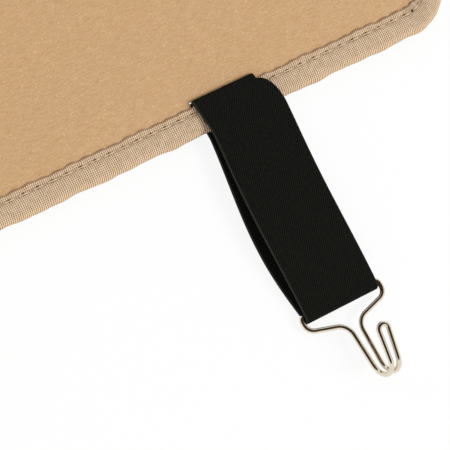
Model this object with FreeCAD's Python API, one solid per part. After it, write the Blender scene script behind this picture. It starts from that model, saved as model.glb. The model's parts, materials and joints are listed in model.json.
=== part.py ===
import FreeCAD, Part
import math
import os

# A wrap-around lumbar brace laid open and flat, lining side up. X runs along the belt, +Y is
# the wearer's head and +Z faces the wearer's back. The origin is at the spine, on the outer face.

# Panel outline
half_length = 430.0
half_height = 150.0
corner_radius = 18.0
back_fold = 130.0
side_fold = 280.0
fold_gap = 0.4
hip_dip = 18.0
hip_dip_half_span = 125.0

# Layers and edge binding
shell_thickness = 0.8
foam_thickness = 2.8
lining_thickness = 1.4
binding_width = 8.5
tape_thickness = 0.5
sewing_clearance = 0.1

# Stays, bones and their tips
stay_pitch = 56.0
stay_count = 4
stay_width = 12.0
stay_thickness = 0.6
stay_end_margin = 10.0
tip_length = 8.0
tip_wall = 0.4
bone_width = 7.0
bone_thickness = 1.2
pocket_clearance = 0.3

# Lumbar pad
pad_width = 150.0
pad_height = 200.0
pad_rise = 14.0
pad_corner = 26.0
pad_edge_round = 6.0
pad_cover_thickness = 1.0
pad_backing_thickness = 0.8
grip_thickness = 1.2
grip_width = 30.0
grip_inset = 22.0
soft_clearance = 0.3

# Elastic loops and wire hooks
strap_from_top = 78.0
strap_reach = 60.0
elastic_width = 25.0
elastic_thickness = 1.2
fold_taper = 0.8
slit_land = 1.1
slit_clearance = 0.5
bend_radius = 0.5
wire_clearance = 0.05
fold_length = 6.0
swing_offset = 6.0
hook_wire = 1.6
hook_corner = 2.0
hook_side = 5.0
hook_side_radius = 2.4
hook_shoulder_angle = 12.0
hook_neck_spacing = 3.8
hook_neck_radius = 3.5
hook_curl_spacing = 2.6
hook_curl_start = 21.5
hook_curl_radius = 4.4
hook_spread = 30.0
hook_return = 10.0
hook_tip_radius = 1.65
hook_tilt = 12.0
wire_joint_gap = 0.3

# Webbing tabs and wire rings
tab_reach = 9.0
webbing_thickness = 1.2
ring_wire = 2.0
ring_corner = 2.0
ring_span = 12.0

# Worked out from the sizes above
lining_top = shell_thickness + foam_thickness + lining_thickness
foam_top = shell_thickness + foam_thickness
strap_y = half_height - strap_from_top
leg_top = max(elastic_thickness, webbing_thickness)
binding_low = leg_top + soft_clearance
slit_width = leg_top + 2 * slit_clearance
slit_length = elastic_width + 2 * slit_clearance
slit_x = half_length - binding_width - slit_land - slit_width / 2
hook_x = half_length + strap_reach
hook_z = elastic_thickness + hook_wire / 2 + wire_clearance
ring_x = half_length + tab_reach
ring_z = webbing_thickness + ring_wire / 2 + wire_clearance
ring_tilt = math.degrees(math.asin((ring_z - ring_wire / 2 - 0.02) / (ring_span + ring_wire)))
fold_width = elastic_width - fold_taper


def point(x, y, z=0.0):
    return FreeCAD.Vector(x, y, z)


def box(x_low, x_high, y_low, y_high, z_low, z_high):
    corner = point(x_low, y_low, z_low)
    return Part.makeBox(x_high - x_low, y_high - y_low, z_high - z_low, corner)


def line(start, end):
    return Part.LineSegment(start, end).toShape()


def arc(start, middle, end):
    return Part.Arc(start, middle, end).toShape()


def mirrored(shape, normal):
    return shape.mirror(point(0, 0), normal)


# ---- panel outline --------------------------------------------------------------------------

def hip_dip_edges(side_x, side_y, inset):
    """Four tangent arcs carry the edge down over the hip and back up."""
    middle = (back_fold + side_fold) / 2
    radius = (hip_dip_half_span ** 2 + hip_dip ** 2) / (4 * hip_dip)
    turn = math.asin(hip_dip_half_span / 2 / radius)
    edges = []
    for away in (-1, 1):
        crest = middle + away * hip_dip_half_span
        rounds = ((crest, half_height - radius, -away, radius - inset),
                  (middle, half_height - hip_dip + radius, away, -radius - inset))
        for centre_x, centre_y, toward, reach in rounds:
            knots = []
            for share in (0, 0.5, 1):
                angle = share * turn
                x = centre_x + toward * abs(reach) * math.sin(angle)
                y = centre_y + reach * math.cos(angle)
                knots.append(point(side_x * x, side_y * y))
            edges.append(arc(*knots))
    return edges


def panel_face(inset):
    """The whole outline as a flat face, moved inwards by inset."""
    dip_inner = (back_fold + side_fold) / 2 - hip_dip_half_span
    dip_outer = (back_fold + side_fold) / 2 + hip_dip_half_span
    corner_x = half_length - corner_radius
    corner_y = half_height - corner_radius
    radius = corner_radius - inset
    bulge = radius * math.sqrt(0.5)
    edges = []
    for side_y in (1, -1):
        top = side_y * (half_height - inset)
        edges.append(line(point(-dip_inner, top), point(dip_inner, top)))
        for side_x in (1, -1):
            edges.append(line(point(side_x * dip_outer, top), point(side_x * corner_x, top)))
            edges.append(arc(point(side_x * corner_x, top),
                             point(side_x * (corner_x + bulge), side_y * (corner_y + bulge)),
                             point(side_x * (corner_x + radius), side_y * corner_y)))
            edges += hip_dip_edges(side_x, side_y, inset)
    for side_x in (1, -1):
        end = side_x * (half_length - inset)
        edges.append(line(point(end, -corner_y), point(end, corner_y)))
    return Part.Face(Part.Wire(Part.__sortEdges__(edges)))


def slab(inset, z_low, z_high):
    face = panel_face(inset)
    face.translate(point(0, 0, z_low))
    return face.extrude(point(0, 0, z_high - z_low))


def slits():
    """The four slits just inside the binding, with the thinned land that a loop passes under."""
    cuts = []
    land_end = half_length - binding_width + sewing_clearance
    for side_x in (1, -1):
        for side_y in (1, -1):
            y_low = side_y * strap_y - slit_length / 2
            y_high = side_y * strap_y + slit_length / 2
            slit = box(slit_x - slit_width / 2, slit_x + slit_width / 2, y_low, y_high,
                       -1, lining_top + 1)
            land = box(slit_x, land_end, y_low, y_high, -1, binding_low)
            cut = slit.fuse(land)
            if side_x < 0:
                cut = mirrored(cut, point(1, 0))
            cuts.append(cut)
    return Part.makeCompound(cuts)


# ---- stays and bones ------------------------------------------------------------------------

def stay_places():
    first = -(stay_count - 1) / 2
    return [(first + index) * stay_pitch for index in range(stay_count)]


def stay_half():
    return half_height - binding_width - stay_end_margin


def side_bone_x():
    return (back_fold + side_fold) / 2


def front_bone_x():
    return (side_fold + half_length) / 2


def stay_low():
    return shell_thickness + tip_wall


def stay(x):
    half = stay_half()
    return box(x - stay_width / 2, x + stay_width / 2, -half, half,
               stay_low(), stay_low() + stay_thickness)


def stay_tips(x):
    """A plastic tip boxed round each end of a stay."""
    tips = []
    half = stay_half()
    wide = stay_width / 2 + tip_wall
    for side in (1, -1):
        inner = half - tip_length
        outer = half + tip_wall
        low, high = sorted((side * inner, side * outer))
        tip = box(x - wide, x + wide, low, high,
                  shell_thickness, stay_low() + stay_thickness + tip_wall)
        tips.append(tip.cut(stay(x)))
    return tips


def bone(x, half):
    return box(x - bone_width / 2, x + bone_width / 2, -half, half,
               shell_thickness, shell_thickness + bone_thickness)


def side_bone_half():
    return stay_half() - hip_dip


def pockets():
    """The hollows in the foam's outer side that hold the stays and the bones."""
    cuts = []
    wide = stay_width / 2 + tip_wall + pocket_clearance
    deep = stay_low() + stay_thickness + tip_wall + sewing_clearance
    long = stay_half() + tip_wall + pocket_clearance
    for x in stay_places():
        cuts.append(box(x - wide, x + wide, -long, long, 0, deep))
    wide = bone_width / 2 + pocket_clearance
    deep = shell_thickness + bone_thickness + sewing_clearance
    for x, half in ((side_bone_x(), side_bone_half()), (front_bone_x(), stay_half())):
        long = half + pocket_clearance
        for side_x in (1, -1):
            cuts.append(box(side_x * x - wide, side_x * x + wide, -long, long, 0, deep))
    return Part.makeCompound(cuts)


# ---- panel layers ---------------------------------------------------------------------------

def shell_layer():
    return slab(binding_width + sewing_clearance, 0, shell_thickness).cut(slits())


def foam_layer():
    """Full thickness inside the binding, with a thin tongue that the binding is sewn over."""
    field = slab(binding_width + sewing_clearance, shell_thickness, foam_top)
    tongue = slab(tape_thickness + sewing_clearance, binding_low + tape_thickness, foam_top)
    return field.fuse(tongue).removeSplitter().cut(slits()).cut(pockets())


def lining_layer():
    return slab(binding_width + sewing_clearance, foam_top, lining_top).cut(slits())


def binding_layer():
    """A tape folded round the tongue, closed at the outer edge and open inwards."""
    whole = slab(0, binding_low, foam_top + tape_thickness)
    channel = slab(tape_thickness, binding_low + tape_thickness, foam_top)
    field = slab(binding_width, 0, lining_top)
    return whole.cut(channel).cut(field)


def sections():
    """Each section's name with the stretch of the belt that it covers."""
    gap = fold_gap / 2
    reach = half_length + 1
    return {
        "back": (-back_fold + gap, back_fold - gap),
        "side_right": (back_fold + gap, side_fold - gap),
        "side_left": (-side_fold + gap, -back_fold - gap),
        "front_right": (side_fold + gap, reach),
        "front_left": (-reach, -side_fold - gap),
    }


def panel_nodes():
    nodes = {}
    layers = {"shell": shell_layer(), "foam": foam_layer(),
              "lining": lining_layer(), "binding": binding_layer()}
    for layer, whole in layers.items():
        for section, (x_low, x_high) in sections().items():
            window = box(x_low, x_high, -half_height - 1, half_height + 1, -1, lining_top + 1)
            nodes[f"{layer}_{section}"] = whole.common(window)
    return nodes


def stay_nodes():
    nodes = {}
    tips = []
    for number, x in enumerate(stay_places(), 1):
        nodes[f"back_stay_{number}"] = stay(x)
        tips += stay_tips(x)
    nodes["stay_tips"] = Part.makeCompound(tips)
    for name, side_x in (("right", 1), ("left", -1)):
        nodes[f"side_bone_{name}"] = bone(side_x * side_bone_x(), side_bone_half())
        nodes[f"front_bone_{name}"] = bone(side_x * front_bone_x(), stay_half())
    return nodes


# ---- lumbar pad -----------------------------------------------------------------------------

def pad_block(inset, z_low, z_high, top_round):
    """A block with round corners in plan, its upper rim rounded by top_round."""
    wide = pad_width / 2 - inset
    tall = pad_height / 2 - inset
    block = box(-wide, wide, -tall, tall, z_low, z_high)
    uprights = [edge for edge in block.Edges
                if abs(edge.Vertexes[0].Z - edge.Vertexes[1].Z) > 0.1]
    block = block.makeFillet(pad_corner - inset, uprights)
    if top_round:
        rim = [edge for edge in block.Edges
               if all(abs(vertex.Z - z_high) < 0.01 for vertex in edge.Vertexes)]
        block = block.makeFillet(top_round, rim)
    return block


def pad_nodes():
    """A foam block in a fabric cover with a sewn back, held on by two grip strips."""
    grip_low = lining_top + soft_clearance
    back_low = grip_low + grip_thickness
    block_low = back_low + pad_backing_thickness
    block_high = block_low + pad_rise
    cover = pad_block(0, block_low, block_high, pad_edge_round)
    hollow = pad_block(pad_cover_thickness, block_low, block_high - pad_cover_thickness,
                       pad_edge_round - pad_cover_thickness)
    foam = pad_block(pad_cover_thickness + sewing_clearance, block_low,
                     block_high - pad_cover_thickness - sewing_clearance,
                     pad_edge_round - pad_cover_thickness)
    grips = []
    half = pad_height / 2 - grip_inset
    for side_x in (1, -1):
        middle = side_x * (pad_width / 2 - grip_inset - grip_width / 2)
        grips.append(box(middle - grip_width / 2, middle + grip_width / 2, -half, half,
                         grip_low, back_low))
    return {
        "pad_cover": cover.cut(hollow),
        "pad_foam": foam,
        "pad_backing": pad_block(0, back_low, block_low, 0),
        "pad_grip_strips": Part.makeCompound(grips),
    }


# ---- loops, tabs and slits ------------------------------------------------------------------

def belt_face(rollers, grow):
    """The area inside a belt round rollers (x, z, radius), anticlockwise seen from -Y."""
    tangents = []
    for index, (x_from, z_from, r_from) in enumerate(rollers):
        x_to, z_to, r_to = rollers[(index + 1) % len(rollers)]
        heading = math.atan2(z_to - z_from, x_to - x_from)
        span = math.hypot(x_to - x_from, z_to - z_from)
        tangents.append(heading - math.pi / 2 + math.asin((r_from - r_to) / span))

    def on_roller(index, angle):
        x, z, radius = rollers[index]
        return point(x + (radius + grow) * math.cos(angle), 0,
                     z + (radius + grow) * math.sin(angle))

    edges = []
    for index in range(len(rollers)):
        after = (index + 1) % len(rollers)
        arrive = tangents[index]
        leave = tangents[after]
        while leave < arrive:
            leave += 2 * math.pi
        edges.append(line(on_roller(index, arrive), on_roller(after, arrive)))
        edges.append(arc(on_roller(after, arrive), on_roller(after, (arrive + leave) / 2),
                         on_roller(after, leave)))
    return Part.Face(Part.Wire(edges))


def band_loop(width, thickness, bar_x, bar_z, bar_radius):
    """A flat band: up through the slit, over the binding, round a bar and back underneath."""
    bend_x = slit_x + thickness / 2 + bend_radius
    rollers = [(bend_x, thickness + bend_radius, bend_radius),
               (bar_x, bar_z, bar_radius),
               (bend_x, lining_top + soft_clearance - bend_radius, bend_radius)]
    ring = belt_face(rollers, thickness).cut(belt_face(rollers, 0))
    ring.translate(point(0, -width / 2))
    return ring.extrude(point(0, width))


def rounded_wire(corners, radii):
    """Straight runs through the corners, each corner rounded by an arc tangent to its runs."""
    edges = []
    reached = corners[0]
    for before, here, after, radius in zip(corners, corners[1:], corners[2:], radii):
        arriving = (here - before).normalize()
        leaving = (after - here).normalize()
        half_turn = arriving.getAngle(leaving) / 2
        setback = radius * math.tan(half_turn)
        start = here - arriving * setback
        end = here + leaving * setback
        inward = (leaving - arriving).normalize()
        middle = here + inward * (radius / math.cos(half_turn) - radius)
        if (start - reached).Length > 1e-6:
            edges.append(line(reached, start))
        edges.append(arc(start, middle, end))
        reached = end
    edges.append(line(reached, corners[-1]))
    return Part.Wire(edges)


def bent_rod(corners, radii, diameter):
    path = rounded_wire(corners, radii)
    start = path.Edges[0]
    circle = Part.makeCircle(diameter / 2, corners[0], start.tangentAt(start.FirstParameter))
    return path.makePipeShell([Part.Wire(circle)], True, False)


def hook_half():
    """Corners and radii of one half of the hook, from the middle of its bar to its tip.

    The first number runs away from the bar, the second along it, the third towards the wearer.
    """
    half_bar = fold_width / 2 + 2 * soft_clearance + hook_corner
    neck = hook_neck_spacing / 2
    shoulder = math.radians(hook_shoulder_angle)
    neck_run = hook_side + (half_bar - neck) * math.tan(shoulder)
    quarter = math.radians((180 - hook_spread) / 2)
    setback = hook_curl_radius * math.tan(quarter / 2)
    low_run = hook_curl_start + setback
    high_run = low_run + 2 * setback * math.cos(quarter)
    high = 2 * setback * math.sin(quarter)
    back = setback + hook_return + hook_tip_radius
    tip_run = high_run + back * math.cos(2 * quarter)
    tip_high = high + back * math.sin(2 * quarter)
    curl = hook_curl_spacing / 2
    corners = [(0, wire_joint_gap / 2, 0), (0, half_bar, 0), (hook_side, half_bar, 0),
               (neck_run, neck, 0), (low_run, curl, 0), (high_run, curl, high),
               (tip_run, hook_tip_radius, tip_high)]
    radii = [hook_corner, hook_side_radius, hook_neck_radius, hook_curl_radius, hook_curl_radius,
             hook_tip_radius]
    return corners, radii


def hook():
    """One wire bent from the middle of the bar, round the curl to the tip and back."""
    corners, radii = hook_half()
    path = [point(*corner) for corner in corners]
    path += [point(run, -across, high) for run, across, high in reversed(corners)]
    rod = bent_rod(path, radii + radii[::-1], hook_wire)
    rod.rotate(point(0, 0), point(0, 1), -hook_tilt)
    rod.translate(point(hook_x, 0, hook_z))
    return rod


def ring():
    """A rectangular wire ring, butted in the middle of the bar that the tab holds."""
    half_bar = elastic_width / 2 + 2 * soft_clearance + ring_corner
    far = ring_span + ring_wire
    corners = [(0, wire_joint_gap / 2), (0, half_bar), (far, half_bar),
               (far, -half_bar), (0, -half_bar), (0, -wire_joint_gap / 2)]
    path = [point(run, across) for run, across in corners]
    rod = bent_rod(path, [ring_corner] * 4, ring_wire)
    rod.rotate(point(0, 0), point(0, 1), ring_tilt)
    rod.translate(point(ring_x, 0, ring_z))
    return mirrored(rod, point(1, 0))


def strap_nodes(name, side_y):
    """The elastic loop in three lengths, from the panel to the hook, and the hook."""
    loop = band_loop(elastic_width, elastic_thickness, hook_x, hook_z,
                     hook_wire / 2 + wire_clearance)
    gap = soft_clearance / 2
    half = elastic_width / 2 + 1
    high = lining_top + 4
    root_end = half_length + swing_offset / 2
    fold_start = hook_x - fold_length
    root_window = box(slit_x - slit_width, root_end - gap, -half, half, -1, high)
    band_window = box(root_end + gap, fold_start - gap, -half, half, -1, high)
    fold_window = box(fold_start + gap, hook_x + fold_length, -fold_width / 2, fold_width / 2,
                      -1, high)
    nodes = {
        f"{name}_strap_root": loop.common(root_window),
        f"{name}_strap_band": loop.common(band_window),
        f"{name}_strap_fold": loop.common(fold_window),
        f"{name}_hook": hook(),
    }
    for shape in nodes.values():
        shape.translate(point(0, side_y * strap_y))
    return nodes


def tab_nodes(name, side_y):
    loop = band_loop(elastic_width, webbing_thickness, ring_x, ring_z,
                     ring_wire / 2 + wire_clearance)
    nodes = {f"{name}_tab": mirrored(loop, point(1, 0)), f"{name}_ring": ring()}
    for shape in nodes.values():
        shape.translate(point(0, side_y * strap_y))
    return nodes


def all_nodes():
    nodes = {**panel_nodes(), **stay_nodes(), **pad_nodes()}
    for name, side_y in (("upper", 1), ("lower", -1)):
        nodes.update(strap_nodes(name, side_y))
        nodes.update(tab_nodes(name, side_y))
    return nodes


os.makedirs("parts", exist_ok=True)
for node, shape in all_nodes().items():
    shape.exportStep(f"parts/{node}.step")
    bounds = shape.BoundBox
    print(f"{node}: {len(shape.Solids)} solid(s), valid {shape.isValid()}, "
          f"volume {shape.Volume:.1f}, x {bounds.XMin:.2f}..{bounds.XMax:.2f}, "
          f"y {bounds.YMin:.2f}..{bounds.YMax:.2f}, z {bounds.ZMin:.2f}..{bounds.ZMax:.2f}")
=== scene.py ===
import json
import math

import bpy
import numpy as np
from mathutils import Matrix, Vector
from mathutils.geometry import delaunay_2d_cdt


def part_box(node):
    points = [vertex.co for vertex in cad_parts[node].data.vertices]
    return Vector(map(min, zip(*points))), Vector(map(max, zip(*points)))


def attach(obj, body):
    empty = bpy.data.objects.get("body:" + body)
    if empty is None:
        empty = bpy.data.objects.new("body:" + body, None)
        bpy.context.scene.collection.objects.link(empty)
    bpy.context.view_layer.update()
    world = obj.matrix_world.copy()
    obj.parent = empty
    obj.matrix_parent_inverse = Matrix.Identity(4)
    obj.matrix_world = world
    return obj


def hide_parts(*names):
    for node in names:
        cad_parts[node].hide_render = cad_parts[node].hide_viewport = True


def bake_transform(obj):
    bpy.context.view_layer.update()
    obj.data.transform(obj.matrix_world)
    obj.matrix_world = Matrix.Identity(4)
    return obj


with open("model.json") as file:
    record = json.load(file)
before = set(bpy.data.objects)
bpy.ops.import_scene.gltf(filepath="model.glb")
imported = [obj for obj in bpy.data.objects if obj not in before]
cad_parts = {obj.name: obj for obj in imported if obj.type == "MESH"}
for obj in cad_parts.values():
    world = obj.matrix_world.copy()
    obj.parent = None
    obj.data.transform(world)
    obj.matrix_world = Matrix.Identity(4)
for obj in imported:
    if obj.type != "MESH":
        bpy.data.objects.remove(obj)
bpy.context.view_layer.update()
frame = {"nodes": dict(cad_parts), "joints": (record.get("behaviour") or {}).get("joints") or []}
nodes = frame["nodes"]
joints = {joint["name"]: joint for joint in frame["joints"]}
mm = 0.001


# places and sizes read from the frame, in metres

def span(node):
    low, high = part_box(node)
    return np.array(low), np.array(high)


endX, topY = span("binding_front_right")[1][0], span("binding_front_right")[1][1]
liningTop = span("lining_back")[1][2]
bindingLow = span("binding_back")[0][2]
bindingWidth = topY - span("lining_back")[1][1]
backFold = joints["side_right_fold"]["pos_m"][0]
sideFold = joints["front_right_fold"]["pos_m"][0]
hipX = (backFold + sideFold) / 2
stayX = [span(f"back_stay_{n}")[0][0] + 6 * mm for n in (3, 4)]
frontBoneX = (span("front_bone_right")[0][0] + span("front_bone_right")[1][0]) / 2
hookBar = joints["upper_hook_pivot"]["pos_m"]
ringBar = joints["upper_ring_pivot"]["pos_m"]
loopLow = span("upper_strap_root")[0]

panel = {
    "cornerRadius": 18 * mm,
    "hipDip": 18 * mm,
    "hipHalfSpan": 125 * mm,
    "foldZone": 40 * mm,       # how far the zone reaches each side of a fold
    "edgeStep": 0.8 * mm,
    "gridStep": 3 * mm,
    "stitchPitch": 4.7 * mm,   # along the binding
    "channelPitch": 3.4 * mm,  # beside the stays
    "slitWidth": 2.0 * mm,
}


# camera

camera = {
    "aim": (26.15 * mm, -21.48 * mm, 3 * mm),  # from the bound edge beside the upper loop
    "azimuth": 6.3,
    "elevation": 69.2,
    "roll": 57.2,
    "distance": 758.6 * mm,
    "fieldOfView": 9.79,
}


def linkObject(name, data):
    obj = bpy.data.objects.new(name, data)
    bpy.context.scene.collection.objects.link(obj)
    return obj


def makeCamera():
    azimuth, elevation = math.radians(camera["azimuth"]), math.radians(camera["elevation"])
    back = Vector((math.sin(azimuth) * math.cos(elevation),
                   -math.cos(azimuth) * math.cos(elevation), math.sin(elevation)))
    right = Vector((math.cos(azimuth), math.sin(azimuth), 0))
    up = back.cross(right)
    roll = math.radians(camera["roll"])
    rolledRight = math.cos(roll) * right + math.sin(roll) * up
    rolledUp = math.cos(roll) * up - math.sin(roll) * right
    data = bpy.data.cameras.new("camera")
    data.sensor_width = 36
    data.lens = 18 / math.tan(math.radians(camera["fieldOfView"]) / 2)
    data.clip_start = 0.01
    obj = linkObject("camera", data)
    place = Vector((endX, hookBar[1], 0)) + Vector(camera["aim"]) + back * camera["distance"]
    turn = Matrix((rolledRight, rolledUp, back)).transposed().to_4x4()
    obj.matrix_world = Matrix.Translation(place) @ turn
    bpy.context.scene.camera = obj


makeCamera()
print("camera placed")


def linear(hexColour):
    parts = [int(hexColour[i:i + 2], 16) / 255 for i in (1, 3, 5)]
    return [c / 12.92 if c <= 0.04045 else ((c + 0.055) / 1.055) ** 2.4 for c in parts] + [1]


def smooth(t):
    t = np.clip(t, 0, 1)
    return t * t * (3 - 2 * t)


def ripple(s, seed, waves=(61, 27, 13)):
    # an uneven wave between -1 and 1 along a length in metres; waves are in mm
    total = np.zeros_like(s)
    for k, (wave, size) in enumerate(zip(waves, (0.5, 0.3, 0.2))):
        total += size * np.sin(s / (wave * mm) * 2 * np.pi + seed * (k + 1.7))
    return total


# materials

def addNode(tree, kind, inputs=(), output=0, **settings):
    # adds a node with its settings and links, and gives one of its outputs
    node = tree.nodes.new(kind)
    for key, value in settings.items():
        setattr(node, key, value)
    given = inputs.items() if isinstance(inputs, dict) else enumerate(inputs)
    for key, value in given:
        if isinstance(value, bpy.types.NodeSocket):
            tree.links.new(value, node.inputs[key])
        else:
            node.inputs[key].default_value = value
    return node.outputs[output] if len(node.outputs) else None


def grain(tree, sizes, detail=2.0, distortion=0.0):
    # an uneven pattern whose grains measure sizes, in mm, along X, Y and Z
    place = addNode(tree, "ShaderNodeTexCoord", output="Object")
    scale = [1 / (size * mm) for size in sizes]
    place = addNode(tree, "ShaderNodeMapping", {"Vector": place, "Scale": scale})
    return addNode(tree, "ShaderNodeTexNoise", {"Vector": place, "Scale": 1.0, "Detail": detail,
                                                "Distortion": distortion})


def rows(tree, value, pitch, hollow=-1.0):
    # 1 on top of each thread and 0 between two; a higher hollow narrows the thread
    turns = addNode(tree, "ShaderNodeMath", (value, 2 * math.pi / pitch), operation="MULTIPLY")
    wave = addNode(tree, "ShaderNodeMath", (turns,), operation="SINE")
    return addNode(tree, "ShaderNodeMapRange", (wave, -1.0, hollow + 2.0),
                   interpolation_type="SMOOTHSTEP")


def stretchedMap(tree):
    # the piece's own map, in mm: along it and across it
    place = addNode(tree, "ShaderNodeUVMap", uv_map="weave")
    parts = tree.nodes.new("ShaderNodeSeparateXYZ")
    tree.links.new(place, parts.inputs[0])
    return parts.outputs[0], parts.outputs[1]


def makeMaterial(name, pattern, depth, **constants):
    # pattern gives sockets by name; "height", from 0 to 1, stands for depth in mm
    material = bpy.data.materials.new(name)
    material.use_nodes = True
    tree = material.node_tree
    shader = tree.nodes["Principled BSDF"]
    for key, value in constants.items():
        shader.inputs[key.replace("_", " ")].default_value = value
    made = pattern(tree)
    if depth:
        made["Normal"] = addNode(tree, "ShaderNodeBump",
                                 {"Height": made.pop("height"), "Distance": depth * mm})
    for key, socket in made.items():
        tree.links.new(socket, shader.inputs[key])
    return material


def tinted(tree, ground, *layers):
    # lays colours over the ground one by one; each has its mask, its colour and the mask's range
    ground = linear(ground)
    for mask, colour, *reach in layers:
        amount = addNode(tree, "ShaderNodeMapRange", (mask, *reach))
        ground = addNode(tree, "ShaderNodeMix", {0: amount, 6: ground, 7: linear(colour)}, 2,
                         data_type="RGBA")
    return ground


def brushedTricot(tree):
    # loops raised by wire brushes: matte, short fibres lying one way, warm specks
    strands = grain(tree, (0.32, 2.8, 1.0), 2.0, 0.4)
    loops = grain(tree, (0.42, 0.6, 0.5), 1.0, 0.6)
    patches = grain(tree, (5.0, 9.0, 6.0))
    cloudy = grain(tree, (24, 40, 30), 1.0)
    ground = tinted(tree, "#cca37b", (patches, "#c6a578", 0.35, 0.65),
                    (cloudy, "#c8a37c", 0.35, 0.65), (strands, "#bf976b", 0.6, 0.36),
                    (loops, "#d9b47f", 0.57, 0.74))
    pile = addNode(tree, "ShaderNodeMath", (strands, 0.6, loops), operation="MULTIPLY_ADD")
    return {"Base Color": ground, "height": pile}


def ribbedTape(tree):
    # woven nylon edging: cross ribs with brown hollows, pierced and drawn in where it is sewn,
    # with painted shade in the seam's crease and needle holes, a painted shade line along the
    # inner edge, and a painted highlight, paler, where it rolls over the edge
    along, across = stretchedMap(tree)
    drift = grain(tree, (3.0, 3.0, 3.0))
    bent = addNode(tree, "ShaderNodeMath", (drift, 0.5, along), operation="MULTIPLY_ADD")
    ribs = rows(tree, bent, binding["ribPitch"], -0.5)
    ends = rows(tree, across, 0.6)
    weave = addNode(tree, "ShaderNodeMath", (ends, 0.35, ribs), operation="MULTIPLY_ADD")
    uneven = grain(tree, (1.6, 1.6, 1.6), 3.0)
    # painted highlight: the tape is tinted paler where it rolls over the outer edge
    rollHighlight = addNode(tree, "ShaderNodeMapRange", (across, 6.6, 8.8),
                     interpolation_type="SMOOTHSTEP")
    # painted shade: the tape is darkened along the crease of its seam and in each needle hole; the
    # crease and the holes are real, their darkness is painted
    seam = addNode(tree, "ShaderNodeMath", (across, binding["seamIn"] / mm),
                   operation="SUBTRACT")
    beside = addNode(tree, "ShaderNodeMath", (seam,), operation="ABSOLUTE")
    near = addNode(tree, "ShaderNodeMath", (along, panel["stitchPitch"] / mm / 2),
                   operation="PINGPONG")
    near = addNode(tree, "ShaderNodeMath", (near, 2.0), operation="POWER")
    hole = addNode(tree, "ShaderNodeMath", (beside, beside, near), operation="MULTIPLY_ADD")
    # the last layer is a painted shade line, brown, along the tape's inner edge where it meets the
    # lining
    ground = tinted(tree, "#e6c8a2", (uneven, "#f7debf", 0.32, 0.68), (rollHighlight, "#ffdfb6"),
                    (weave, "#7f5537", 0.6, 0.05), (beside, "#8b6a4c", 0.9, 0.1, 0.0, 0.3),
                    (hole, "#3f2a1b", 0.5, 0.12), (across, "#8c5f3a", 0.55, 0.05, 0.0, 0.8))
    return {"Base Color": ground, "height": weave}


def spunThread(tree):
    # spun polyester, two plies, dull
    plies = grain(tree, (0.3, 0.3, 0.3))
    return {"Base Color": tinted(tree, "#d2b592", (plies, "#ead1ae", 0.35, 0.65)),
            "height": plies}


def braidedElastic(tree):
    # covered rubber cords: dull black, fine slanting rows of loops,
    # a painted grey highlight along each selvedge
    along, across = stretchedMap(tree)
    slant = addNode(tree, "ShaderNodeMath", (along, 0.8, across), operation="MULTIPLY_ADD")
    loops = rows(tree, slant, 0.8)
    cords = rows(tree, across, 0.66)
    fuzz = grain(tree, (0.7, 0.7, 0.7), 3.0)
    weave = addNode(tree, "ShaderNodeMath", (cords, 0.5, loops), operation="MULTIPLY_ADD")
    weave = addNode(tree, "ShaderNodeMath", (weave, fuzz), operation="MULTIPLY")
    half = loop["width"] / mm / 2
    middle = addNode(tree, "ShaderNodeMath", (across, half), operation="SUBTRACT")
    middle = addNode(tree, "ShaderNodeMath", (middle,), operation="ABSOLUTE")
    # painted highlight: grey within half a millimetre of each edge, where the rounded edge catches
    # the light
    tone = tinted(tree, "#0a0a08", (weave, "#1c1d18", 0.1, 0.8),
                  (middle, "#4a4a44", half - 0.5, half, 0.0, 0.5))
    return {"Base Color": tone, "height": weave}


def platedWire(tree):
    # drawn steel wire, nickel plated and tumbled: warm silver with faint wear
    marks = grain(tree, (4.0, 4.0, 4.0), 3.0)
    rough = addNode(tree, "ShaderNodeMapRange", (marks, 0.0, 1.0, 0.05, 0.11))
    return {"Base Color": tinted(tree, "#ece2d2", (marks, "#dacebb")), "Roughness": rough}


def plainWeave(tree):
    # polyester cloth, over one and under one; the threads are drawn coarse enough to show
    place = addNode(tree, "ShaderNodeTexCoord", output="Object")
    warp, weft = [
        rows(tree, addNode(tree, "ShaderNodeSeparateXYZ", (place,), axis), 0.9 * mm)
        for axis in (0, 1)]
    over = addNode(tree, "ShaderNodeMath", (warp, weft), operation="SUBTRACT")
    over = addNode(tree, "ShaderNodeMath", (over,), operation="ABSOLUTE")
    fuzz = grain(tree, (5.0, 5.0, 5.0), 3.0)
    tone = tinted(tree, "#d0b38c", (over, "#a98b66"), (fuzz, "#b3946c", 0.3, 0.8, 0.0, 0.3))
    return {"Base Color": tone, "height": over}


def openCellFoam(tree):
    # cut polyurethane foam: cream, open cells about a millimetre across
    place = addNode(tree, "ShaderNodeTexCoord", output="Object")
    cells = addNode(tree, "ShaderNodeTexVoronoi", {"Vector": place, "Scale": 1 / (0.9 * mm)})
    return {"Base Color": tinted(tree, "#c9c3ae", (cells, "#efeadb", 0.1, 0.6)),
            "height": cells}


def hookTape(tree):
    # moulded nylon hooks in close rows on a woven ground
    place = addNode(tree, "ShaderNodeTexCoord", output="Object")
    hooks = addNode(tree, "ShaderNodeTexVoronoi", {"Vector": place, "Scale": 1 / (1.4 * mm),
                                                   "Randomness": 0.3})
    return {"Base Color": tinted(tree, "#c9aa82", (hooks, "#8f7352", 0.2, 0.6)),
            "height": hooks}


def groundStrip(tree):
    # spring steel strip with fine grinding lines along its length
    lines = grain(tree, (0.2, 30.0, 0.5), 3.0)
    rough = addNode(tree, "ShaderNodeMapRange", (lines, 0.0, 1.0, 0.25, 0.45))
    return {"Base Color": tinted(tree, "#8d9094", (lines, "#b4b6b8")), "Roughness": rough}


def mouldedNylon(tree):
    # satin from the mould, faintly cloudy
    cloud = grain(tree, (6.0, 6.0, 6.0), 3.0)
    return {"Base Color": tinted(tree, "#d6d4cc", (cloud, "#e8e6df")),
            "height": grain(tree, (0.4, 0.4, 0.4))}


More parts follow.
